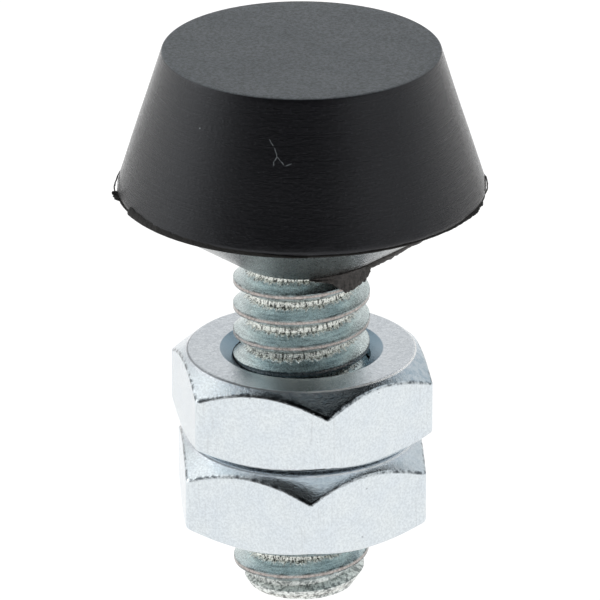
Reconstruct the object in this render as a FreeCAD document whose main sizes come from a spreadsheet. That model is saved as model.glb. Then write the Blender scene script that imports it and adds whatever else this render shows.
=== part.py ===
import FreeCAD, Part
import math
import os
import Sketcher

# A rubber-capped levelling stud: a threaded steel stud with a cone-shaped disc head, a rubber
# pad bonded over the head, and two thin hexagon nuts run together on the thread.
# Origin: the centre of the stud's plain end. +Z runs up the stud towards the pad.

DIMENSIONS = {
    # stud thread, 1/4-20 UNC, right-handed; its groove starts below the plain end and rises past
    # the top of the shank, where the head covers it
    "thread_major_d": 6.30,
    "thread_pitch": 1.27,
    "thread_crest_flat": 0.24,
    "thread_root_flat": 0.22,
    "thread_depth": 0.70,
    "thread_mouth_clearance": 0.15,
    "thread_start_drop": 1.403,
    "thread_groove_rise": 18.60,
    "thread_length": 16.35,
    "tip_d": 4.90,
    "tip_taper": 1.10,
    # disc head, cone-shaped below and flat above, with a short rim that the rubber surrounds
    "head_neck_d": 6.50,
    "head_d": 16.20,
    "head_cone_height": 3.20,
    "head_rim_height": 0.70,
    # rubber pad
    "pad_base_d": 16.90,
    "pad_top_d": 12.80,
    "pad_height": 6.80,
    "pad_edge_radius": 0.15,
    # thin hexagon nut, measured from its lower face
    "nut_across_flats": 11.11,
    "nut_thickness": 4.20,
    "nut_bore_d": 6.40,
    "nut_countersink_d": 7.54,
    "nut_countersink_depth": 0.33,
    "nut_top_face_d": 10.48,
    "nut_top_chamfer_slope": 0.85,
    "nut_bottom_face_d": 9.84,
    "nut_bottom_chamfer_slope": 0.55,
    "nut_corner_radius": 0.35,
    "nut_face_edge_radius": 0.25,
    "nut_flat_edge_radius": 0.22,
    # where the nuts sit on the thread, and how far each is turned from a corner on +X, in degrees
    "lower_nut_height": 3.28,
    "lower_nut_turn": 34.0,
    "upper_nut_turn": 41.0,
}

SMALLEST_CUT = 1e-3  # mm3, less than this means that a cut missed its solid
CUTTER_MARGIN = 1.0  # mm, how far a turned cutter reaches past the stock

doc = FreeCAD.newDocument("levelling_stud")


def make_sheet():
    """The driving dimensions, in millimetres and degrees, one alias per cell."""
    sheet = doc.addObject("Spreadsheet::Sheet", "dims")
    for row, (alias, value) in enumerate(DIMENSIONS.items(), start=1):
        sheet.set(f"A{row}", alias)
        sheet.set(f"B{row}", str(value))
        sheet.setAlias(f"B{row}", alias)
    doc.recompute()


def new_body(label):
    body = doc.addObject("PartDesign::Body", label)
    body.Label = label
    return body


def new_sketch(body, name, plane):
    """An empty sketch on one of the body's own origin planes."""
    sketch = body.newObject("Sketcher::SketchObject", name)
    support = next(f for f in body.Origin.OriginFeatures if f.Role == plane)
    sketch.AttachmentSupport = [(support, "")]
    sketch.MapMode = "FlatFace"
    return sketch


def outline_sketch(body, name, corners):
    """A closed outline in the XZ plane: each corner is two expressions, (radius, height)."""
    sketch = new_sketch(body, name, "XZ_Plane")
    points = [FreeCAD.Vector(*(sketch.evalExpression(e) for e in corner)) for corner in corners]
    for start, end in zip(points, points[1:] + points[:1]):
        sketch.addGeometry(Part.LineSegment(start, end), False)
    for i in range(len(points)):
        after = (i + 1) % len(points)
        sketch.addConstraint(Sketcher.Constraint("Coincident", i, 2, after, 1))
    for i, (point, (radius, height)) in enumerate(zip(points, corners)):
        for axis, value, expression in (("X", point.x, radius), ("Y", point.y, height)):
            label = f"corner_{i}_{axis}"
            constraint = Sketcher.Constraint(f"Distance{axis}", -1, 1, i, 1, value)
            sketch.renameConstraint(sketch.addConstraint(constraint), label)
            sketch.setExpression(f"Constraints.{label}", expression)
    doc.recompute()
    return sketch


def hexagon_sketch(body, name):
    """A regular hexagon in the XY plane, a corner on +X, sized by the nut's across-flats."""
    sketch = new_sketch(body, name, "XY_Plane")
    corner_r = sketch.evalExpression("dims.nut_across_flats / sqrt(3)")
    ray = FreeCAD.Vector(corner_r, 0, 0)
    turn = [FreeCAD.Rotation(FreeCAD.Vector(0, 0, 1), 60 * i) for i in range(6)]
    points = [rotation.multVec(ray) for rotation in turn]
    for start, end in zip(points, points[1:] + points[:1]):
        sketch.addGeometry(Part.LineSegment(start, end), False)
    centre = FreeCAD.Vector(0, 0, 0)
    circle = sketch.addGeometry(Part.Circle(centre, FreeCAD.Vector(0, 0, 1), corner_r), True)
    sketch.addConstraint(Sketcher.Constraint("Coincident", circle, 3, -1, 1))
    for i in range(6):
        sketch.addConstraint(Sketcher.Constraint("Coincident", i, 2, (i + 1) % 6, 1))
        sketch.addConstraint(Sketcher.Constraint("PointOnObject", i, 1, circle))
    for i in range(1, 6):
        sketch.addConstraint(Sketcher.Constraint("Equal", 0, i))
    sketch.addConstraint(Sketcher.Constraint("PointOnObject", 0, 1, -1))
    radius = sketch.addConstraint(Sketcher.Constraint("Radius", circle, corner_r))
    sketch.renameConstraint(radius, "corner_radius")
    sketch.setExpression("Constraints.corner_radius", "dims.nut_across_flats / sqrt(3)")
    doc.recompute()
    return sketch


def turned(body, kind, name, corners):
    """Turn an outline a full circle about the Z axis, to add a Revolution or cut a Groove."""
    before = body.Shape.Volume if kind == "Groove" else None
    outline = outline_sketch(body, f"{name}_outline", corners)
    feature = body.newObject(f"PartDesign::{kind}", name)
    feature.Profile = outline
    feature.ReferenceAxis = (outline, ["V_Axis"])
    feature.Angle = 360
    doc.recompute()
    if before is not None and feature.Shape.Volume > before - SMALLEST_CUT:
        raise RuntimeError(f"{name} removes nothing")
    return feature


def rounded(body, name, base, edges, radius):
    """Fillet these edges of the last feature with a radius from the sheet."""
    fillet = body.newObject("PartDesign::Fillet", name)
    fillet.Base = (base, edges)
    fillet.setExpression("Radius", radius)
    doc.recompute()
    return fillet


def edge_names(shape, wanted):
    return [f"Edge{i}" for i, edge in enumerate(shape.Edges, start=1) if wanted(edge)]


def is_vertical(edge):
    low, high = edge.BoundBox.ZMin, edge.BoundBox.ZMax
    return high - low > 1e-3 and edge.BoundBox.DiagonalLength - (high - low) < 1e-6


def is_chamfer_edge(shape, edge, radius):
    """Whether the edge lies between a chamfer's cone and a flat or rounded corner further out."""
    kinds = {face.Surface.TypeId for face in shape.Faces for side in face.Edges if side.isSame(edge)}
    outside = max(math.hypot(vertex.X, vertex.Y) for vertex in edge.Vertexes) > radius
    return outside and "Part::GeomCone" in kinds and len(kinds) == 2


def is_circle_at(edge, radius, height):
    """Whether the edge is a whole horizontal circle of this radius at this height."""
    box = edge.BoundBox
    flat = abs(box.ZMin - height) < 1e-4 and abs(box.ZMax - height) < 1e-4
    return flat and isinstance(edge.Curve, Part.Circle) and abs(edge.Curve.Radius - radius) < 1e-4


def make_headed_stud():
    """The steel stud: a shank with a helical thread cut in it, and the disc head on its top."""
    body = new_body("headed_stud")
    crest_r = "dims.thread_major_d / 2"
    shank = turned(
        body,
        "Revolution",
        "shank",
        [
            ("0", "0"),
            ("dims.tip_d / 2", "0"),
            (crest_r, "dims.tip_taper"),
            (crest_r, "dims.thread_length"),
            ("0", "dims.thread_length"),
        ],
    )
    root_r = f"{crest_r} - dims.thread_depth"
    mouth_r = f"{crest_r} + dims.thread_mouth_clearance"
    flank_slope = (
        "(dims.thread_pitch - dims.thread_crest_flat - dims.thread_root_flat)"
        " / 2 / dims.thread_depth"
    )
    root_half = "dims.thread_root_flat / 2"
    mouth_half = f"({root_half} + {flank_slope} * (dims.thread_depth + dims.thread_mouth_clearance))"
    start = "-dims.thread_start_drop"
    groove = outline_sketch(
        body,
        "thread_groove",
        [
            (root_r, f"{start} - {root_half}"),
            (mouth_r, f"{start} - {mouth_half}"),
            (mouth_r, f"{start} + {mouth_half}"),
            (root_r, f"{start} + {root_half}"),
        ],
    )
    thread = body.newObject("PartDesign::SubtractiveHelix", "thread")
    thread.Profile = groove
    thread.ReferenceAxis = (groove, ["V_Axis"])
    thread.Mode = "pitch-height-angle"
    thread.setExpression("Pitch", "dims.thread_pitch")
    thread.setExpression("Height", "dims.thread_groove_rise")
    thread.Angle = 0
    thread.LeftHanded = False
    doc.recompute()
    if thread.Shape.Volume > shank.Shape.Volume - SMALLEST_CUT:
        raise RuntimeError("the thread removes nothing")
    head_base = "dims.thread_length + dims.head_cone_height"
    head_top = f"{head_base} + dims.head_rim_height"
    turned(
        body,
        "Revolution",
        "head",
        [
            ("0", "dims.thread_length"),
            ("dims.head_neck_d / 2", "dims.thread_length"),
            ("dims.head_d / 2", head_base),
            ("dims.head_d / 2", head_top),
            ("0", head_top),
        ],
    )
    return body


def make_rubber_pad():
    """The pad: a tapered rubber cap moulded over the head, with a recess that the head's rim fills."""
    body = new_body("rubber_pad")
    cap = turned(
        body,
        "Revolution",
        "pad_cap",
        [
            ("0", "dims.head_rim_height"),
            ("dims.head_d / 2", "dims.head_rim_height"),
            ("dims.head_d / 2", "0"),
            ("dims.pad_base_d / 2", "0"),
            ("dims.pad_top_d / 2", "dims.pad_height"),
            ("0", "dims.pad_height"),
        ],
    )
    top_r = body.evalExpression("dims.pad_top_d / 2")
    top_z = body.evalExpression("dims.pad_height")
    rim = edge_names(cap.Shape, lambda edge: is_circle_at(edge, top_r, top_z))
    rounded(body, "pad_top_edge", cap, rim, "dims.pad_edge_radius")
    body.setExpression("Placement.Base.z", "dims.thread_length + dims.head_cone_height")
    return body


def make_nut(label, height, turn):
    """A thin hexagon nut, chamfered above and below, bored to clear the thread's crests."""
    body = new_body(label)
    stock = body.newObject("PartDesign::Pad", f"{label}_stock")
    stock.Profile = hexagon_sketch(body, f"{label}_hexagon")
    stock.setExpression("Length", "dims.nut_thickness")
    doc.recompute()
    corners = edge_names(stock.Shape, is_vertical)
    rounded(body, f"{label}_corners", stock, corners, "dims.nut_corner_radius")

    outer_r = f"(dims.nut_across_flats / sqrt(3) + {CUTTER_MARGIN})"
    top_r = "dims.nut_top_face_d / 2"
    top_z = "dims.nut_thickness"
    turned(
        body,
        "Groove",
        f"{label}_top_chamfer",
        [
            (top_r, top_z),
            (outer_r, f"{top_z} - dims.nut_top_chamfer_slope * ({outer_r} - {top_r})"),
            (outer_r, top_z),
        ],
    )
    bottom_r = "dims.nut_bottom_face_d / 2"
    turned(
        body,
        "Groove",
        f"{label}_bottom_chamfer",
        [
            (bottom_r, "0"),
            (outer_r, f"dims.nut_bottom_chamfer_slope * ({outer_r} - {bottom_r})"),
            (outer_r, "0"),
        ],
    )
    bore_r = "dims.nut_bore_d / 2"
    sink_r = "dims.nut_countersink_d / 2"
    sink_depth = "dims.nut_countersink_depth"
    bore = turned(
        body,
        "Groove",
        f"{label}_bore",
        [
            ("0", "0"),
            (sink_r, "0"),
            (bore_r, sink_depth),
            (bore_r, f"{top_z} - {sink_depth}"),
            (sink_r, top_z),
            ("0", top_z),
        ],
    )
    face_r = body.evalExpression(top_r)
    face_z = body.evalExpression("dims.nut_thickness")
    face_edge = edge_names(bore.Shape, lambda edge: is_circle_at(edge, face_r, face_z))
    face = rounded(body, f"{label}_face_edge", bore, face_edge, "dims.nut_face_edge_radius")
    flat_r = body.evalExpression("dims.nut_across_flats / 2")
    flat_edges = edge_names(face.Shape, lambda edge: is_chamfer_edge(face.Shape, edge, flat_r))
    rounded(body, f"{label}_flat_edges", face, flat_edges, "dims.nut_flat_edge_radius")
    body.setExpression("Placement.Base.z", height)
    body.setExpression("Placement.Rotation.Angle", turn)
    return body


def check_document(bodies):
    """Stop if any object failed to build, or a body isn't one sound solid."""
    for thing in doc.Objects:
        if "Invalid" in thing.State or "Error" in thing.State:
            raise RuntimeError(f"{thing.Name} didn't build: {thing.State}")
    for body in bodies:
        shape = body.Shape
        if shape.isNull() or not shape.isValid() or len(shape.Solids) != 1:
            raise RuntimeError(f"{body.Label} isn't one sound solid")


def write_parts(bodies):
    os.makedirs("parts", exist_ok=True)
    for body in bodies:
        body.Shape.exportStep(f"parts/{body.Label}.step")
        box = body.Shape.BoundBox
        print(f"{body.Label}: {body.Shape.Volume:.2f} mm3, z {box.ZMin:.3f} to {box.ZMax:.3f}")


make_sheet()
bodies = [
    make_headed_stud(),
    make_rubber_pad(),
    make_nut("upper_jam_nut", "dims.lower_nut_height + dims.nut_thickness", "dims.upper_nut_turn"),
    make_nut("lower_jam_nut", "dims.lower_nut_height", "dims.lower_nut_turn"),
]
doc.recompute()
check_document(bodies)
write_parts(bodies)
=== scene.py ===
import bpy
import math
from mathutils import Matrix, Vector, noise


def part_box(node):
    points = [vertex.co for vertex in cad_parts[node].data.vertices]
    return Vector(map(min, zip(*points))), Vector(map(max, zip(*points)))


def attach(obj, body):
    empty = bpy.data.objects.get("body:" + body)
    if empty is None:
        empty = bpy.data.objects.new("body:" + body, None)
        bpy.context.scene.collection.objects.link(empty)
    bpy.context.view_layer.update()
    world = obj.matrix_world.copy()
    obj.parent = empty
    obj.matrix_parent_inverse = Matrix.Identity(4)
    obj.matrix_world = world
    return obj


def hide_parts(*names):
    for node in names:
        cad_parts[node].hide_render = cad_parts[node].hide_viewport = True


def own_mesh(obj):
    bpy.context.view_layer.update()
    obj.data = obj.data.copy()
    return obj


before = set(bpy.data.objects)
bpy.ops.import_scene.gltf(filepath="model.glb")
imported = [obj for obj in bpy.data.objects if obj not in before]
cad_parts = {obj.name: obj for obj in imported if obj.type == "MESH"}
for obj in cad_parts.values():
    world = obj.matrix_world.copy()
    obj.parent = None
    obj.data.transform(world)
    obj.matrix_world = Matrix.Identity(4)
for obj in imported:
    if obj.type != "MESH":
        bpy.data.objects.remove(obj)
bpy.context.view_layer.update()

# A rubber-capped levelling stud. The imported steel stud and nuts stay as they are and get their
# finish here; the rubber pad is rebuilt with its moulding flash and a torn film on the steel.

MM = 0.001
STUD_BODY = "stud_and_pad"

pad_low, pad_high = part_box("rubber_pad")
head_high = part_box("headed_stud")[1]
PAD_BASE_R = pad_high.x
PAD_BASE_Z = pad_low.z
PAD_TOP_Z = pad_high.z
HEAD_R = head_high.x
HEAD_TOP_Z = head_high.z
TOP_R = 6.40 * MM
HEAD_NECK_R = 3.25 * MM
HEAD_NECK_Z = PAD_BASE_Z - 3.20 * MM
THREAD_R = 3.15 * MM
THREAD_PITCH = 1.27 * MM
CREST_Z_AT_X = 14.472 * MM
PAD_SIDE_SLOPE = (PAD_BASE_R - TOP_R) / (PAD_TOP_Z - PAD_BASE_Z)
CONE_SLOPE = (PAD_BASE_Z - HEAD_NECK_Z) / (HEAD_R - HEAD_NECK_R)
NUT_FLAT_R = 11.11 / 2 * MM
NUT_FACE_R = 10.48 / 2 * MM
NUT_TOP_SLOPE = 0.85
NUT_BASE_R = 9.84 / 2 * MM
NUT_BASE_SLOPE = 0.55
NUT_SINK_R = 7.54 / 2 * MM
UPPER_NUT_TURN, LOWER_NUT_TURN = 41.0, 34.0
WHITE = (1.0, 1.0, 1.0, 1.0)

# Strength of the surrounding light by direction, and of the glowing floor.
FRONT_GLOW, BACK_GLOW, OVERHEAD_GLOW, LEFT_GLOW = 0.01, 0.82, 0.02, 2.1
FLOOR_GLOW = 0.97

# The camera looks down at the middle of the stud through a long lens.
CAMERA_ELEVATION = math.radians(22.41)
CAMERA_DISTANCE = 350 * MM
CAMERA_TARGET = Vector((-0.068 * MM, 0, 14.018 * MM))
CAMERA_LENS, CAMERA_SENSOR = 456.3, 36


# ---------------------------------------------------------------- shader helpers


class Nodes:
    """Short calls that add nodes to a material's or the world's node tree."""

    def __init__(self, tree):
        self.tree = tree

    def add(self, kind, inputs=None, **settings):
        """A node of this kind; inputs maps a socket's name or number to a value or a socket."""
        made = self.tree.nodes.new("ShaderNode" + kind)
        for name, value in settings.items():
            setattr(made, name, value)
        for socket, value in (inputs or {}).items():
            self.set(made, socket, value)
        return made

    def set(self, node, socket, value):
        if isinstance(value, bpy.types.NodeSocket):
            self.tree.links.new(value, node.inputs[socket])
        else:
            node.inputs[socket].default_value = value

    def math(self, operation, *values, clamp=False):
        made = self.add("Math", dict(enumerate(values)), operation=operation, use_clamp=clamp)
        return made.outputs[0]

    def step(self, value, low, high, out_low=0.0, out_high=1.0):
        """A smooth ramp of value, from out_low at low to out_high at high."""
        names = ("Value", "From Min", "From Max", "To Min", "To Max")
        inputs = dict(zip(names, (value, low, high, out_low, out_high)))
        return self.add("MapRange", inputs, interpolation_type="SMOOTHSTEP").outputs[0]

    def mix(self, share, one, other):
        """Colour one, going to colour other as share goes to 1."""
        made = self.add("Mix", {0: share, 6: one, 7: other}, data_type="RGBA")
        return made.outputs[2]

    def mix_value(self, share, one, other):
        """Number one, going to number other as share goes to 1."""
        return self.add("Mix", {0: share, 2: one, 3: other}).outputs[0]

    def line_distance(self, x, y, start, end):
        """Distance from the point (x, y) to the line from start to end."""
        run = (end[0] - start[0], end[1] - start[1])
        length_squared = run[0] ** 2 + run[1] ** 2
        dx = self.math("SUBTRACT", x, start[0])
        dy = self.math("SUBTRACT", y, start[1])
        dot = self.math("ADD", self.math("MULTIPLY", dx, run[0]), self.math("MULTIPLY", dy, run[1]))
        share = self.math("DIVIDE", dot, length_squared, clamp=True)
        off_x = self.math("SUBTRACT", dx, self.math("MULTIPLY", share, run[0]))
        off_y = self.math("SUBTRACT", dy, self.math("MULTIPLY", share, run[1]))
        return self.add("VectorMath", {0: self.vector(off_x, off_y)}, operation="LENGTH").outputs[1]

    def noise(self, vector, scale, detail=2.0, rough=0.5):
        inputs = {"Vector": vector, "Scale": scale, "Detail": detail, "Roughness": rough}
        return self.add("TexNoise", inputs).outputs[0]

    def place(self):
        """The point on the piece, in millimetres: (vector, x, y, z)."""
        local = self.add("TexCoord").outputs["Object"]
        scaled = self.add("VectorMath", {0: local, "Scale": 1 / MM}, operation="SCALE").outputs[0]
        parts = self.add("SeparateXYZ", {0: scaled})
        return scaled, parts.outputs[0], parts.outputs[1], parts.outputs[2]

    def vector(self, x=0.0, y=0.0, z=0.0):
        return self.add("CombineXYZ", {0: x, 1: y, 2: z}).outputs[0]

    def polar(self, x, y):
        """(radius, angle in radians) of a point in the XY plane."""
        radius = self.add("VectorMath", {0: self.vector(x, y)}, operation="LENGTH").outputs[1]
        return radius, self.math("ARCTAN2", y, x)

    def bump(self, height, depth_mm, normal=None):
        """A normal that follows this height, from 0 to 1, at a depth in millimetres."""
        depth = self.math("MULTIPLY", depth_mm, MM)
        inputs = {"Height": height, "Distance": depth}
        if normal is not None:
            inputs["Normal"] = normal
        return self.add("Bump", inputs).outputs[0]


class Shader(Nodes):
    """A new material with a Principled surface."""

    def __init__(self, name):
        self.material = bpy.data.materials.new(name)
        self.material.use_nodes = True
        super().__init__(self.material.node_tree)
        self.tree.nodes.clear()
        self.surface = self.add("BsdfPrincipled")
        self.add("OutputMaterial", {"Surface": self.surface.outputs["BSDF"]})

    def finish(self, **sockets):
        """Sets or links the Principled surface's own sockets; underscores stand for spaces."""
        for name, value in sockets.items():
            self.set(self.surface, name.replace("_", " "), value)
        return self.material


def rgb(red, green, blue):
    return (red, green, blue, 1.0)


# ---------------------------------------------------------------- materials


def scratch_mask(s, point, x, y, z):
    """1 on a short, faint, branching scratch on the front of the pad's side, 0 away from it."""
    stem = ((-1.44, 24.56), (-1.27, 24.30), (-1.16, 24.18), (-1.08, 23.86), (-0.76, 23.46))
    twigs = (
        ((-1.08, 23.86), (-1.24, 23.62)),
        ((-1.24, 23.62), (-1.25, 23.44)),
        ((-0.76, 23.46), (-0.47, 23.58)),
    )
    shift = s.math("MULTIPLY", s.math("SUBTRACT", s.noise(point, 3.5, 3.0), 0.5), 0.16)
    nearest = 1.0
    for start, end in tuple(zip(stem, stem[1:])) + twigs:
        nearest = s.math("MINIMUM", nearest, s.line_distance(s.math("ADD", x, shift), z, start, end))
    on_line = s.step(nearest, 0.006, 0.030, 1.0, 0.0)
    broken = s.step(s.noise(point, 5.0, 3.0), 0.38, 0.55, 0.12, 0.85)
    return s.math("MULTIPLY", s.math("MULTIPLY", on_line, broken), s.math("LESS_THAN", y, 0.0))


def rubber_material():
    """Black rubber: a dull grey, bloomed top, made far paler than the side partly by painted light;
    turned lines round the side, dust and a scratch.
    """
    s = Shader("moulded_rubber")
    point, x, y, z = s.place()
    grain = s.noise(point, 7.5, 3.0, 0.8)
    cloud = s.noise(point, 0.55, 4.0, 0.6)
    angle = s.math("ARCTAN2", y, x)
    around = s.math("MULTIPLY", s.math("ABSOLUTE", angle), 0.7)
    rings = s.noise(s.vector(around, s.math("MULTIPLY", z, 10.0), 2.0), 1.5, 5.0, 0.7)
    specks = s.add("TexVoronoi", {"Vector": point, "Scale": 0.62}).outputs["Distance"]
    dust = s.step(specks, 0.016, 0.030, 1.0, 0.0)
    fine_specks = s.add("TexVoronoi", {"Vector": point, "Scale": 2.3}).outputs["Distance"]
    fine_dust = s.step(fine_specks, 0.03, 0.07, 0.16, 0.0)

    black, soft_black = rgb(0.0008, 0.0008, 0.0016), rgb(0.0024, 0.0022, 0.0036)
    side_grain, top_grain = rgb(0.020, 0.020, 0.024), rgb(0.05, 0.05, 0.05)
    # The top's grey is partly the rubber's bloom and partly painted light: it is painted far paler than
    # the near-black side.
    grey_bloom_and_light, pale_grey_bloom_and_light = rgb(0.165, 0.185, 0.202), rgb(0.270, 0.293, 0.310)
    dust_grey = rgb(0.20, 0.22, 0.23)

    on_top = s.step(z, PAD_TOP_Z / MM - 0.07, PAD_TOP_Z / MM - 0.01)
    side = s.mix(cloud, black, soft_black)
    side = s.mix(s.step(grain, 0.52, 0.70, 0.0, 0.6), side, side_grain)
    top = s.mix(cloud, grey_bloom_and_light, pale_grey_bloom_and_light)
    top = s.mix(s.step(grain, 0.36, 0.64, 0.55, 0.0), top, top_grain)
    base = s.mix(on_top, side, top)
    marks = s.math("MAXIMUM", s.math("MAXIMUM", dust, fine_dust), scratch_mask(s, point, x, y, z))
    base = s.mix(marks, base, dust_grey)
    # The turned lines are deeper on the left and right, and the gloss sharper at a low angle.
    normal = s.bump(grain, 0.022)
    sideways = s.step(s.math("ABSOLUTE", x), 4.2, 7.6, 0.003, 0.060)
    depth = s.math("MULTIPLY", sideways, s.math("SUBTRACT", 1.0, on_top))
    normal = s.bump(rings, depth, normal)
    facing = s.add("LayerWeight", {"Blend": 0.5}).outputs["Facing"]
    side_rough = s.mix_value(s.step(facing, 0.62, 0.88), s.step(rings, 0.2, 0.8, 0.24, 0.34), 0.10)
    rough = s.mix_value(on_top, side_rough, 0.75)
    level = s.mix_value(on_top, 0.36, 0.5)
    s.finish(Specular_Tint=rgb(0.93, 0.95, 1.0))
    s.finish(Sheen_Weight=0.20, Sheen_Roughness=0.30, Sheen_Tint=rgb(1.0, 0.94, 0.88))
    return s.finish(Base_Color=base, Roughness=rough, Normal=normal, Specular_IOR_Level=level)


def flash_material(name, wear):
    """Thin torn rubber: browner and duller than the pad, and paler where wear nears 1."""
    s = Shader(name)
    point, x, y, z = s.place()
    grain = s.noise(point, 6.0, 5.0, 0.8)
    streak = s.noise(s.vector(x, y, s.math("MULTIPLY", z, 5.0)), 2.5, 3.0)
    hollow, ridge = rgb(0.007, 0.006, 0.0055), rgb(0.062, 0.054, 0.049)
    pale_streak, unworn = rgb(0.092, 0.081, 0.074), rgb(0.006, 0.0058, 0.005)
    torn_grain = s.mix(s.step(grain, 0.36, 0.62), hollow, ridge)
    torn_grain = s.mix(s.step(streak, 0.5, 0.7, 0.0, 0.5), torn_grain, pale_streak)
    base = s.mix(wear, unworn, torn_grain)
    normal = s.bump(grain, 0.05)
    s.finish(Specular_IOR_Level=0.2 + 0.3 * wear)
    return s.finish(Base_Color=base, Roughness=0.62, Normal=normal)


def thread_place(s, angle, z):
    """(turns climbed, distance in mm from the nearest crest) of a point on the thread."""
    turns = s.math("MULTIPLY", angle, 1 / (2 * math.pi))
    climb = s.math("MULTIPLY", s.math("SUBTRACT", z, CREST_Z_AT_X / MM), MM / THREAD_PITCH)
    along = s.math("ADD", s.math("SUBTRACT", climb, turns), 0.5)
    centred = s.math("SUBTRACT", s.math("FRACT", along), 0.5)
    return climb, s.math("MULTIPLY", s.math("ABSOLUTE", centred), THREAD_PITCH / MM)


def cone_colour(s, x, radius, blotch, cone_rings):
    """Grey turned zinc, stained by rubber near the neck, and painted near-black at the outer edge: partly
    a film of rubber, partly painted shadow under the pad's rim.
    """
    shade, light, ring_light = rgb(0.19, 0.20, 0.20), rgb(0.43, 0.445, 0.44), rgb(0.42, 0.44, 0.44)
    stain, film = rgb(0.16, 0.145, 0.13), rgb(0.012, 0.012, 0.012)
    cone = s.mix(blotch, shade, light)
    cone = s.mix(s.step(cone_rings, 0.3, 0.7, 0.0, 0.6), cone, ring_light)
    stained = s.math("MULTIPLY", s.step(x, -0.5, 3.0), s.step(radius, 4.0, 6.0, 0.7, 0.0))
    cone = s.mix(stained, cone, stain)
    # Near-black band at the outer edge, under the pad's rim: partly rubber film, partly painted shadow.
    return s.mix(s.step(radius, 7.35, 7.60), cone, film)


def flank_colour(s, x, blotch, flank_rings):
    """Green-grey zinc on the thread's flanks, streaked along the thread, and painted paler left and right
    as a painted reflection of the bright sides.
    """
    shade, light = rgb(0.43, 0.565, 0.60), rgb(0.80, 0.88, 0.87)
    streak, pale = rgb(0.18, 0.23, 0.25), rgb(0.93, 0.98, 0.94)
    flank = s.mix(blotch, shade, light)
    flank = s.mix(s.step(flank_rings, 0.34, 0.58, 0.68, 0.0), flank, streak)
    # Painted reflection: the flanks are paler towards the left and right, where they turn to the bright
    # sides.
    return s.mix(s.step(s.math("ABSOLUTE", x), 1.6, 3.0, 0.0, 0.45), flank, pale)


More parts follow.
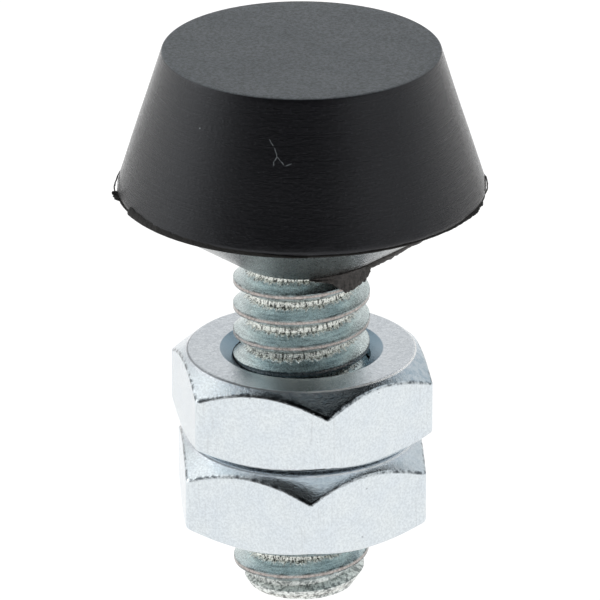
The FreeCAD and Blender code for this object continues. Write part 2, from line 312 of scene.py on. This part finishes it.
def stud_material():
    """Zinc-plated steel: turned rings on the cone, and rolled marks that follow the thread, with painted
    glints and shade in the thread's root, at the tip and beside the crests.
    """
    s = Shader("zinc_stud")
    point, x, y, z = s.place()
    radius, angle = s.polar(x, y)
    climb, off_crest = thread_place(s, angle, z)

    arc = s.math("MULTIPLY", angle, THREAD_R / MM)
    wander = s.noise(s.vector(arc, climb, 4.0), 2.6, 3.0, 0.6)
    edge_wander = s.math("MULTIPLY", s.math("SUBTRACT", wander, 0.5), 0.07)
    from_crest = s.math("ADD", off_crest, edge_wander)
    on_thread = s.math("LESS_THAN", z, HEAD_NECK_Z / MM - 0.005)
    crest = s.math("MULTIPLY", s.step(from_crest, 0.05, 0.08, 1.0, 0.0), on_thread)
    border_in = s.step(from_crest, 0.045, 0.065)
    border_out = s.step(from_crest, 0.105, 0.15, 1.0, 0.0)
    crest_border_shade = s.math("MULTIPLY", s.math("MULTIPLY", border_in, border_out), on_thread)
    crest_border_shade = s.math("MULTIPLY", crest_border_shade, s.step(wander, 0.35, 0.60, 0.85, 0.50))
    comb = s.noise(s.vector(s.math("MULTIPLY", arc, 2.0), 0.0, climb), 2.4, 3.0, 0.7)
    root_wander = s.math("MULTIPLY", s.math("SUBTRACT", comb, 0.5), 0.55)
    root = s.step(s.math("ADD", off_crest, root_wander), 0.42, 0.47)
    root = s.math("MULTIPLY", s.math("MULTIPLY", root, on_thread), s.step(z, 0.9, 1.7, 0.25, 1.0))

    sparkle_place = s.vector(s.math("MULTIPLY", arc, 2.0), s.math("MULTIPLY", climb, 1.3), radius)
    sparkle = s.noise(sparkle_place, 4.0, 3.0, 0.8)
    ring_place = s.vector(s.math("MULTIPLY", angle, 0.8), s.math("MULTIPLY", off_crest, 4.5), climb)
    flank_rings = s.noise(ring_place, 2.4, 6.0, 0.72)
    cone_place = s.vector(s.math("MULTIPLY", angle, 0.5), s.math("MULTIPLY", radius, 8.0), 3.0)
    cone_rings = s.noise(cone_place, 1.6, 4.0, 0.65)
    rings = s.mix_value(on_thread, cone_rings, flank_rings)
    grain = s.noise(point, 8.0, 3.0, 0.8)
    blotch = s.noise(point, 1.3, 4.0, 0.6)
    chips = s.noise(point, 4.2, 4.0, 0.8)
    tip = s.step(z, 0.7, 1.25, 0.85, 0.0)

    crest_shade, crest_light = rgb(0.36, 0.325, 0.305), rgb(0.54, 0.49, 0.465)
    root_painted_shade, root_painted_glint = rgb(0.08, 0.085, 0.08), rgb(0.98, 1.0, 0.94)
    worn_chip_shade, worn_chip_glint = rgb(0.19, 0.20, 0.19), rgb(0.98, 1.0, 0.96)
    crest_edge_shade_dark, speckle_dark = rgb(0.045, 0.040, 0.036), rgb(0.055, 0.052, 0.048)

    cone = cone_colour(s, x, radius, blotch, cone_rings)
    base = s.mix(on_thread, cone, flank_colour(s, x, blotch, flank_rings))
    base = s.mix(crest, base, s.mix(s.step(sparkle, 0.40, 0.60), crest_shade, crest_light))
    # Painted light in the thread's root: near-white specks stand in for glints and near-black specks for
    # shade in the groove.
    base = s.mix(root, base, s.mix(s.step(sparkle, 0.41, 0.51), root_painted_shade, root_painted_glint))
    # Painted shade: a thin, broken dark line beside each crest band.
    base = s.mix(crest_border_shade, base, crest_edge_shade_dark)
    # The chipped tip: real wear, with the near-white and dark chips also standing in for painted glints
    # and shade.
    base = s.mix(tip, base, s.mix(s.step(chips, 0.42, 0.54), worn_chip_shade, worn_chip_glint))
    speckle = s.math("MULTIPLY", s.step(grain, 0.36, 0.60, 1.0, 0.0), s.mix_value(on_thread, 0.70, 0.32))
    base = s.mix(speckle, base, speckle_dark)
    rough = s.math("ADD", s.step(grain, 0.25, 0.75, 0.20, 0.34), s.math("MULTIPLY", tip, 0.12))
    height = s.math("ADD", s.math("MULTIPLY", rings, 0.6), s.math("MULTIPLY", grain, 0.4))
    normal = s.bump(height, 0.026)
    normal = s.bump(s.math("MULTIPLY", sparkle, root), 0.07, normal)
    normal = s.bump(s.math("MULTIPLY", chips, tip), 0.07, normal)
    return s.finish(Base_Color=base, Metallic=1.0, Roughness=rough, Normal=normal)


def inside_flat(s, radius, angle, turn):
    """Distance in mm inwards from the nearest of the nut's six flats, which are turned by turn."""
    turned = s.math("SUBTRACT", angle, math.radians(turn))
    sixth = s.math("FRACT", s.math("DIVIDE", turned, math.pi / 3))
    off_flat = s.math("MULTIPLY", s.math("SUBTRACT", sixth, 0.5), math.pi / 3)
    across = s.math("MULTIPLY", radius, s.math("COSINE", off_flat))
    return s.math("SUBTRACT", NUT_FLAT_R / MM, across)


def edge_line(s, x, near_edge, below_chamfer, uneven, shade_span, shade_width):
    """Share of the painted shade along the lower edge of the top chamfer: a dark uneven line that stands
    in for dark reflections there.

    The line widens by shade_width over the span of x from the first to the second of
    shade_span's four values, and narrows again from the third to the fourth.
    """
    rise_from, rise_to, fall_from, fall_to = shade_span
    widened = s.math("MULTIPLY", s.step(x, rise_from, rise_to), s.step(x, fall_from, fall_to, 1.0, 0.0))
    ends = s.step(s.math("ABSOLUTE", x), 3.3, 4.6, 0.065, 0.125)
    wide = s.math("ADD", ends, s.math("MULTIPLY", widened, shade_width))
    line = s.step(s.math("DIVIDE", near_edge, wide), 0.30, 1.0, 1.0, 0.0)
    line = s.math("MULTIPLY", line, s.step(uneven, 0.42, 0.60, 0.92, 0.35))
    return s.math("MULTIPLY", line, s.step(below_chamfer, 0.05, 0.14, 1.0, 0.0))


def nut_material(name, node, turn, shade_span, shade_width, chamfer_shade_share):
    """Bright bluish zinc plate: drawing lines and pits, and painted shade and highlight: a dark line and
    a darker blue on the top chamfer, a dark and a white rim on the top face, and a dark blue countersink.

    The last argument is the greatest share, from 0 to 1, of the painted darker blue shade on the top
    chamfer.
    """
    s = Shader(name)
    low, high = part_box(node)
    point, x, y, z = s.place()
    radius, angle = s.polar(x, y)
    grain = s.noise(point, 8.5, 3.0, 0.8)
    blotch = s.noise(point, 0.9, 3.0)
    uneven = s.noise(point, 3.2, 4.0, 0.7)
    wobble = s.math("MULTIPLY", s.math("SUBTRACT", uneven, 0.5), 0.16)

    inside = inside_flat(s, radius, angle, turn)
    from_top = s.math("SUBTRACT", high.z / MM, z)
    from_base = s.math("SUBTRACT", z, low.z / MM)
    chamfer_drop = s.math("MULTIPLY", s.math("SUBTRACT", radius, NUT_FACE_R / MM), NUT_TOP_SLOPE)
    below_chamfer = s.math("SUBTRACT", from_top, chamfer_drop)
    off_chamfer = s.math("ABSOLUTE", below_chamfer)
    near_edge = s.math("ADD", s.math("ADD", inside, off_chamfer), wobble)
    # Painted shade: a dark uneven line along the lower edge of the top chamfer, wider over part of the
    # front.
    painted_edge_shade = edge_line(s, x, near_edge, below_chamfer, uneven, shade_span, shade_width)
    base_rise = s.math("MULTIPLY", s.math("SUBTRACT", radius, NUT_BASE_R / MM), NUT_BASE_SLOPE)
    off_base = s.math("ABSOLUTE", s.math("SUBTRACT", from_base, base_rise))
    low_edge = s.step(s.math("ADD", inside, off_base), 0.03, 0.09, 0.45, 0.0)
    on_face = s.step(from_top, 0.10, 0.20, 1.0, 0.0)
    off_rim = s.math("ABSOLUTE", s.math("SUBTRACT", radius, NUT_FACE_R / MM + 0.03))
    rim = s.step(s.math("ADD", off_rim, s.math("MULTIPLY", wobble, 0.4)), 0.015, 0.06, 1.0, 0.0)
    rim = s.math("MULTIPLY", rim, on_face)
    # Painted shade and highlight on the rim of the top face: dark on the left, white on the right.
    painted_rim_shade = s.math("MULTIPLY", rim, s.step(x, -0.5, 0.6, 0.60, 0.0))
    painted_rim_highlight = s.math("MULTIPLY", rim, s.step(x, -0.2, 0.8))
    # Painted shade: the countersink is tinted dark blue for the shade in the nut's bore.
    sink_shade = s.step(radius, NUT_SINK_R / MM - 0.03, NUT_SINK_R / MM + 0.03, 0.92, 0.0)
    on_chamfer = s.math("MULTIPLY", s.step(off_chamfer, 0.03, 0.06, 1.0, 0.0), s.step(inside, 0.02, 0.08))
    # Painted shade: an uneven darker blue on the top chamfer, fading out towards the far left, standing
    # in for dull reflections.
    chamfer_shade = s.math("MULTIPLY", s.step(x, -4.6, -2.4, 0.0, chamfer_shade_share), s.step(uneven, 0.34, 0.60, 0.95, 0.45))
    chamfer_shade = s.math("MULTIPLY", s.math("MULTIPLY", chamfer_shade, on_chamfer), s.step(radius, 5.26, 5.34))

    upright = s.vector(x, y, s.math("MULTIPLY", z, 0.05))
    drawn = s.step(s.noise(upright, 9.0, 3.0, 0.7), 0.52, 0.70, 0.0, 0.22)
    drawn = s.math("MULTIPLY", drawn, s.step(radius, 5.70, 6.05))
    pit_place = s.add("VectorMath", {0: point, 1: (7.3, 2.1, 4.7)}, operation="ADD").outputs[0]
    pits = s.add("TexVoronoi", {"Vector": pit_place, "Scale": 0.9}).outputs["Distance"]
    pit = s.step(s.math("ADD", pits, s.math("MULTIPLY", grain, 0.05)), 0.05, 0.08, 0.45, 0.0)
    mottled = s.step(s.noise(point, 4.5, 5.0, 0.85), 0.40, 0.58, 0.55, 0.0)

    bluish, whitish = rgb(0.685, 0.745, 0.80), rgb(0.795, 0.835, 0.835)
    face_light, face_shade = rgb(0.86, 0.87, 0.90), rgb(0.52, 0.55, 0.59)
    grain_grey, drawn_grey = rgb(0.40, 0.44, 0.47), rgb(0.42, 0.43, 0.44)
    warm_edge, painted_chamfer_blue, painted_sink_shade_blue = rgb(0.50, 0.42, 0.36), rgb(0.37, 0.46, 0.53), rgb(0.20, 0.30, 0.37)
    pit_and_shade_dark = rgb(0.045, 0.055, 0.065)

    base = s.mix(blotch, bluish, whitish)
    base = s.mix(s.math("MULTIPLY", on_face, 0.6), base, face_light)
    base = s.mix(s.math("MULTIPLY", on_face, mottled), base, face_shade)
    base = s.mix(s.step(grain, 0.38, 0.62, 0.32, 0.0), base, grain_grey)
    base = s.mix(drawn, base, drawn_grey)
    base = s.mix(low_edge, base, warm_edge)
    base = s.mix(chamfer_shade, base, painted_chamfer_blue)
    base = s.mix(sink_shade, base, painted_sink_shade_blue)
    # Painted shade along the chamfer's edge and on the left of the rim, and dark pits.
    base = s.mix(s.math("MAXIMUM", s.math("MAXIMUM", painted_edge_shade, painted_rim_shade), pit), base, pit_and_shade_dark)
    # Painted highlight: the right of the top face's rim goes white.
    base = s.mix(painted_rim_highlight, base, WHITE)
    rough = s.math("ADD", s.step(grain, 0.25, 0.75, 0.10, 0.18), s.math("MULTIPLY", painted_rim_highlight, 0.40))
    normal = s.bump(grain, 0.016)
    return s.finish(Base_Color=base, Metallic=1.0, Roughness=rough, Normal=normal)


# ---------------------------------------------------------------- meshes


def mesh_object(name, points, faces, material, smooth=True):
    mesh = bpy.data.meshes.new(name)
    mesh.from_pydata(points, [], faces)
    mesh.validate()
    made = bpy.data.objects.new(name, mesh)
    bpy.context.scene.collection.objects.link(made)
    mesh.materials.append(material)
    for face in mesh.polygons:
        face.use_smooth = smooth
    return made


def ring_faces(rings, count, closed=False):
    """Quads between neighbouring rings of count points each, and from last to first if closed."""
    faces = []
    for i in range(rings if closed else rings - 1):
        here, there = i * count, (i + 1) % rings * count
        for j in range(count):
            after = (j + 1) % count
            faces.append((here + j, here + after, there + after, there + j))
    return faces


def arc_points(centre, radius, start_deg, end_deg, steps):
    """Points (r, z) on an arc in the profile plane, ends included."""
    sweep = [math.radians(start_deg + (end_deg - start_deg) * i / steps) for i in range(steps + 1)]
    return [(centre[0] + radius * math.cos(a), centre[1] + radius * math.sin(a)) for a in sweep]


def pad_profile():
    """The pad's half section from the axis at its top, down its side, into the head's recess."""
    slope = math.degrees(math.atan2(PAD_BASE_R - TOP_R, PAD_TOP_Z - PAD_BASE_Z))
    edge, rim = 0.13 * MM, 0.22 * MM
    top_centre = (TOP_R - edge, PAD_TOP_Z - edge)
    rim_centre = (PAD_BASE_R - rim * 1.02, PAD_BASE_Z + rim)
    top_face = [(TOP_R * share, PAD_TOP_Z) for share in (0.25, 0.5, 0.75, 0.9)]
    top_edge = arc_points(top_centre, edge, 90, slope, 5)
    low_edge = arc_points(rim_centre, rim, slope, -90, 8)
    side_start, side_end = top_edge[-1], low_edge[0]
    side, side_steps = [], 24
    for i in range(1, side_steps):
        share = i / side_steps
        side.append(tuple(a + (b - a) * share for a, b in zip(side_start, side_end)))
    recess = [(HEAD_R, PAD_BASE_Z), (HEAD_R, HEAD_TOP_Z), (HEAD_R * 0.5, HEAD_TOP_Z)]
    return top_face + top_edge + side + low_edge + recess


def build_pad(material):
    """The pad as a closed, turned shape with a slightly uneven side and lower rim."""
    count = 288
    profile = pad_profile()
    points = []
    for r, z in profile:
        for j in range(count):
            a = 2 * math.pi * j / count
            place = Vector((math.cos(a), math.sin(a), z / MM * 0.25))
            wander = noise.noise(place * 1.7) * 0.018 * MM
            low = max(0.0, 1 - (z - PAD_BASE_Z) / (0.9 * MM))
            ragged = noise.noise(place * 9.0) * 0.035 * MM * low
            inside = z <= HEAD_TOP_Z and r <= HEAD_R
            radius = r if inside else r + (wander + ragged) * min(1.0, r / TOP_R)
            points.append((radius * math.cos(a), radius * math.sin(a), z))
    faces = ring_faces(len(profile), count)
    top, bottom = len(points), len(points) + 1
    points += [(0, 0, PAD_TOP_Z), (0, 0, HEAD_TOP_Z)]
    last = (len(profile) - 1) * count
    for j in range(count):
        after = (j + 1) % count
        faces.append((top, after, j))
        faces.append((bottom, last + j, last + after))
    pad = mesh_object("moulded_pad", points, [tuple(reversed(f)) for f in faces], material)
    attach(pad, STUD_BODY)
    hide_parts("rubber_pad")
    return pad


# ---------------------------------------------------------------- torn rubber


def lofted(name, sections, material, closed=False):
    """A closed skin through equal sections, joined end to end or capped at both ends."""
    count = len(sections[0])
    points = [point for section in sections for point in section]
    faces = ring_faces(len(sections), count, closed)
    if not closed:
        last = (len(sections) - 1) * count
        faces.append(tuple(reversed(range(count))))
        faces.append(tuple(last + j for j in range(count)))
    made = mesh_object(name, points, faces, material)
    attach(made, STUD_BODY)
    return made


def pad_side_r(z):
    """Radius of the pad's side at height z."""
    return PAD_BASE_R - (z - PAD_BASE_Z) * PAD_SIDE_SLOPE


def cone_z(r):
    """Height of the steel cone's underside at radius r."""
    return HEAD_NECK_Z + (r - HEAD_NECK_R) * CONE_SLOPE


def blade_section(angle, line, thickness):
    """The closed outline, at this angle about Z, of a thin blade along a line of (r, z) points."""
    last = len(line) - 1
    upper, lower = [], []
    for i, (r, z) in enumerate(line):
        before, after = line[max(i - 1, 0)], line[min(i + 1, last)]
        run = Vector((after[0] - before[0], after[1] - before[1])).normalized()
        half = 0.5 * thickness * (1 - 0.55 * i / last)
        upper.append((r - run.y * half, z + run.x * half))
        lower.append((r + run.y * half, z - run.x * half))
    outline = upper + lower[::-1]
    return [(r * math.cos(angle), r * math.sin(angle), z) for r, z in outline]


def ragged(angle_deg, fineness, seed):
    """Noise from about -1 to 1 that runs round the pad with the angle."""
    a = math.radians(angle_deg)
    place = Vector((math.cos(a) * fineness, math.sin(a) * fineness, seed))
    return noise.fractal(place, 0.6, 2.1, 5)


def blend_between(stops, value):
    """A straight-line reading of value in a list of (place, reading) stops."""
    for (low, start), (high, end) in zip(stops, stops[1:]):
        if value <= high:
            share = max(0.0, (value - low) / (high - low))
            return start + (end - start) * share
    return stops[-1][1]


def build_rim_flash(material):
    """The thin fin of moulding flash round the pad's lower rim, torn wider in a few places."""
    reach_stops = (
        (-180, 0.05), (-175.5, 0.06), (-174.5, 0.26), (-170, 0.30), (-168.5, 0.07), (-158, 0.03),
        (-105, 0.03), (-95, 0.03), (-40, 0.03), (-33, 0.06), (-28, 0.05), (-22, 0.15), (-17, 0.10),
        (-14, 0.14), (-11, 0.05), (0, 0.06), (30, 0.04), (95, 0.12), (110, 0.05), (180, 0.05),
    )
    droop_stops = (
        (-180, 20), (-175, -15), (-168, 0), (-158, 30), (-90, 40), (-36, 40), (-20, 15), (30, 30),
        (180, 20),
    )
    root = (PAD_BASE_R - 0.16 * MM, PAD_BASE_Z + 0.05 * MM)
    sections = []
    count = 1080
    for i in range(count):
        degrees = -180 + 360 * i / count
        reach = blend_between(reach_stops, degrees)
        reach *= 1 + 0.35 * ragged(degrees, 14.0, 3.0) + 0.15 * ragged(degrees, 50.0, 5.0)
        reach = max(0.02, reach) * MM
        droop = math.radians(blend_between(droop_stops, degrees) + 10 * ragged(degrees, 9.0, 8.0))
        line = []
        for share in (0.0, 0.35, 0.7, 1.0):
            out = 0.10 * MM + reach * share
            line.append((root[0] + out * math.cos(droop), root[1] - out * math.sin(droop) * 0.92))
        sections.append(blade_section(math.radians(degrees), [root] + line, 0.11 * MM))
    return lofted("rim_flash", sections, material, closed=True)


def build_side_strip(material):
    """A strip of flash that lies flat on the pad's side, just above its rim."""
    start_deg, end_deg = -158.5, -88.0
    tall_stops = (
        (start_deg, 0.22), (-157.5, 0.44), (-150, 0.40), (-138, 0.38), (-125, 0.32), (-110, 0.26),
        (-96, 0.10), (end_deg, 0.03),
    )
    proud_stops = ((start_deg, 0.06), (-157, 0.13), (-145, 0.09), (-120, 0.06), (end_deg, 0.02))
    steps, sides = 260, 16
    sections = []
    for i in range(steps + 1):
        degrees = start_deg + (end_deg - start_deg) * i / steps
        tall = blend_between(tall_stops, degrees) * (1 + 0.12 * ragged(degrees, 12.0, 31.0)) * MM
        proud = blend_between(proud_stops, degrees) * (1 + 0.20 * ragged(degrees, 20.0, 33.0)) * MM
        angle = math.radians(degrees)
        ring = []
        for j in range(sides):
            turn = 2 * math.pi * j / sides
            rise = math.copysign(abs(math.sin(turn)) ** 0.6, math.sin(turn))
            z = PAD_BASE_Z - 0.03 * MM + 0.5 * tall * (1 + rise)
            r = pad_side_r(z) + proud * math.cos(turn)
            ring.append((r * math.cos(angle), r * math.sin(angle), z))
        sections.append(ring)
    return lofted("side_strip", sections, material)


def build_whisker(name, start_deg, end_deg, start_z, end_z, stand_off, material):
    """A fine thread of flash that stands off the rim between its two ends."""
    steps, sides, thickness = 30, 8, 0.032 * MM
    sections = []
    for i in range(steps + 1):
        share = i / steps
        degrees = start_deg + (end_deg - start_deg) * share
        angle = math.radians(degrees)
        z = start_z + (end_z - start_z) * share
        off = stand_off * math.sin(math.pi * share) * (1 + 0.4 * ragged(degrees, 9.0, 1.0))
        half = thickness * (1 + 0.35 * ragged(degrees, 30.0, 2.0))
        centre_r = pad_side_r(z) + off
        ring = []
        for j in range(sides):
            turn = 2 * math.pi * j / sides
            r = centre_r + half * math.cos(turn)
            ring.append((r * math.cos(angle), r * math.sin(angle), z + half * math.sin(turn)))
        sections.append(ring)
    return lofted(name, sections, material)


def build_torn_film(material):
    """A torn flap of rubber film on the low end of the cone, hanging past the stud's neck."""
    start_deg, end_deg = -84.0, -17.0
    drop_stops = (
        (start_deg, 0.00), (-78, 0.04), (-70, 0.18), (-66, 0.26), (-60, 0.55), (-53, 0.86), (-50, 0.80),
        (-44, 0.73), (-35, 0.62), (-28, 0.42), (-22, 0.14), (end_deg, 0.03),
    )
    cover_stops = (
        (start_deg, 0.04), (-74, 0.25), (-55, 0.55), (-38, 0.75), (-25, 0.50), (end_deg, 0.10),
    )
    neck = HEAD_NECK_R + 0.05 * MM
    sections = []
    count = 200
    for i in range(count + 1):
        share = i / count
        degrees = start_deg + (end_deg - start_deg) * share
        thin = 0.085 * min(1.0, 0.2 + 5 * share, 0.2 + 5 * (1 - share)) * MM
        tear = ragged(degrees, 16.0, 11.0)
        fine = ragged(degrees, 70.0, 13.0)
        drop = max(0.02, blend_between(drop_stops, degrees) * (1 + 0.10 * tear + 0.08 * fine)) * MM
        cover = blend_between(cover_stops, degrees) * (1 + 0.3 * tear + 0.1 * fine) * MM
        line = []
        for part in (1.0, 0.66, 0.33, 0.0):
            r = neck + cover * part
            line.append((r, cone_z(r) - 0.030 * MM))
        flare = (0.10 + 0.10 * ragged(degrees, 5.0, 17.0)) * MM
        for part in (0.35, 0.7, 1.0):
            line.append((neck + 0.05 * MM + flare * part, HEAD_NECK_Z - drop * part))
        sections.append(blade_section(math.radians(degrees), line, thin))
    return lofted("torn_film", sections, material)


def build_torn_strip(material):
    """A curled strip of the same film that runs up the cone's right side to the rim."""
    azimuth = math.radians(-37)
    along = Vector((math.cos(azimuth), math.sin(azimuth), 0))
    across = Vector((-math.sin(azimuth), math.cos(azimuth), 0))
    out = (along * CONE_SLOPE - Vector((0, 0, 1))).normalized()
    start_r, end_r = 3.92 * MM, 7.55 * MM
    steps, sides = 90, 12
    sections = []
    for i in range(steps + 1):
        share = i / steps
        r = start_r + (end_r - start_r) * share
        tear = noise.fractal(Vector((share * 9, 0.0, 21.0)), 0.6, 2.1, 4)
        stand = blend_between(((0, 0.19), (0.10, 0.24), (0.45, 0.15), (0.75, 0.12), (1, 0.03)), share)
        stand *= (1 + 0.4 * tear) * MM
        wide = blend_between(((0, 0.34), (0.2, 0.50), (0.6, 0.38), (1, 0.10)), share)
        wide *= (1 + 0.3 * tear) * MM
        centre = along * r + Vector((0, 0, cone_z(r))) + across * 0.10 * MM * tear
        ring = []
        for j in range(sides):
            turn = 2 * math.pi * j / sides
            lump = 1 + 0.25 * noise.noise(Vector((share * 30, math.cos(turn) * 2, math.sin(turn) * 2)))
            ring.append(centre + across * wide * math.cos(turn) + out * stand * lump * math.sin(turn))
        sections.append(ring)
    return lofted("torn_strip", sections, material)


# ---------------------------------------------------------------- finish on the CAD nodes

rubber = rubber_material()
torn = flash_material("torn_rubber", 1.0)
rim_rubber = flash_material("rim_rubber", 0.18)
zinc_stud = stud_material()
zinc_upper = nut_material(
    "zinc_upper_nut", "upper_jam_nut", UPPER_NUT_TURN,
    shade_span=(-3.5, -0.5, 1.6, 3.2), shade_width=0.28, chamfer_shade_share=1.0,
)
zinc_lower = nut_material(
    "zinc_lower_nut", "lower_jam_nut", LOWER_NUT_TURN,
    shade_span=(-4.5, -1.0, 0.4, 1.2), shade_width=0.08, chamfer_shade_share=0.5,
)

for node, material in (
    ("headed_stud", zinc_stud),
    ("upper_jam_nut", zinc_upper),
    ("lower_jam_nut", zinc_lower),
):
    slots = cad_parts[node].data.materials
    slots.clear()
    slots.append(material)

build_pad(rubber)
build_rim_flash(rim_rubber)
build_side_strip(rim_rubber)
build_whisker("left_whisker", 172.0, 187.0, 20.05 * MM, 19.52 * MM, 0.16 * MM, torn)
build_whisker("right_whisker", 8.0, -5.0, 19.95 * MM, 19.60 * MM, 0.12 * MM, torn)
film = build_torn_film(torn)
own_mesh(film)
build_torn_strip(torn)


# ---------------------------------------------------------------- stage, light, camera


def make_floor():
    """A pale floor that glows evenly, like a lit table, so that it lights the metal from below."""
    side = 3.0
    corners = [(-side, -side, 0), (side, -side, 0), (side, side, 0), (-side, side, 0)]
    s = Shader("floor")
    s.finish(Base_Color=rgb(0.25, 0.25, 0.25), Roughness=0.9, Specular_IOR_Level=0.0)
    s.finish(Emission_Color=WHITE, Emission_Strength=FLOOR_GLOW)
    floor = mesh_object("floor", corners, [(0, 1, 2, 3)], s.material, False)


def make_world():
    """Bright low on the sides and back, dark in front and overhead, with a high glow on the left."""
    world = bpy.data.worlds.new("surround")
    bpy.context.scene.world = world
    world.use_nodes = True
    s = Nodes(world.node_tree)
    direction = s.add("TexCoord").outputs["Generated"]
    x, y, z = s.add("SeparateXYZ", {0: direction}).outputs

    sides_and_back = s.step(y, -0.72, -0.05, FRONT_GLOW, 1.0)
    ceiling = s.step(x, -0.54, -0.30, 0.86, 0.60)
    low_down = s.step(s.math("SUBTRACT", z, ceiling), 0.0, 0.06, 1.0, OVERHEAD_GLOW)
    back_wall = s.step(y, 0.3, 0.9, 1.0, BACK_GLOW)
    left_wall = s.step(x, -0.95, -0.60, LEFT_GLOW, 1.0)
    horizon = s.step(z, 0.05, 0.09, 1.0, 0.0)
    glow = s.math("MULTIPLY", s.math("MULTIPLY", sides_and_back, low_down), back_wall)
    glow = s.math("MULTIPLY", glow, left_wall)
    sky = world.node_tree.nodes["Background"]
    s.set(sky, "Strength", s.math("MAXIMUM", glow, horizon))
    s.set(sky, "Color", rgb(0.97, 0.99, 1.0))


def make_softbox(name, direction, distance, size, power):
    """A square lamp in this direction from the object, facing it, unseen by the camera."""
    target = Vector((0, 0, 12 * MM))
    data = bpy.data.lights.new(name, "AREA")
    data.size = size
    data.energy = power
    lamp = bpy.data.objects.new(name, data)
    lamp.location = target + Vector(direction).normalized() * distance
    lamp.rotation_mode = "QUATERNION"
    lamp.rotation_quaternion = (target - lamp.location).to_track_quat("-Z", "Y")
    lamp.visible_camera = False
    bpy.context.scene.collection.objects.link(lamp)


def make_camera():
    """A camera in front of the object and above it, held upright."""
    back = Vector((0, -math.cos(CAMERA_ELEVATION), math.sin(CAMERA_ELEVATION)))
    data = bpy.data.cameras.new("camera")
    data.sensor_width = CAMERA_SENSOR
    data.lens = CAMERA_LENS
    data.clip_start, data.clip_end = 0.01, 20
    camera = bpy.data.objects.new("camera", data)
    camera.location = CAMERA_TARGET + back * CAMERA_DISTANCE
    camera.rotation_mode = "QUATERNION"
    camera.rotation_quaternion = (-back).to_track_quat("-Z", "Y")
    bpy.context.scene.collection.objects.link(camera)
    bpy.context.scene.camera = camera


make_floor()
make_world()
make_softbox("right_back_box", (0.36, 0.50, 0.78), 0.45, 0.12, 0.25)
make_softbox("right_front_box", (0.72, -0.66, 0.20), 0.50, 0.25, 0.16)
make_camera()
bpy.context.scene.view_settings.view_transform = "Standard"
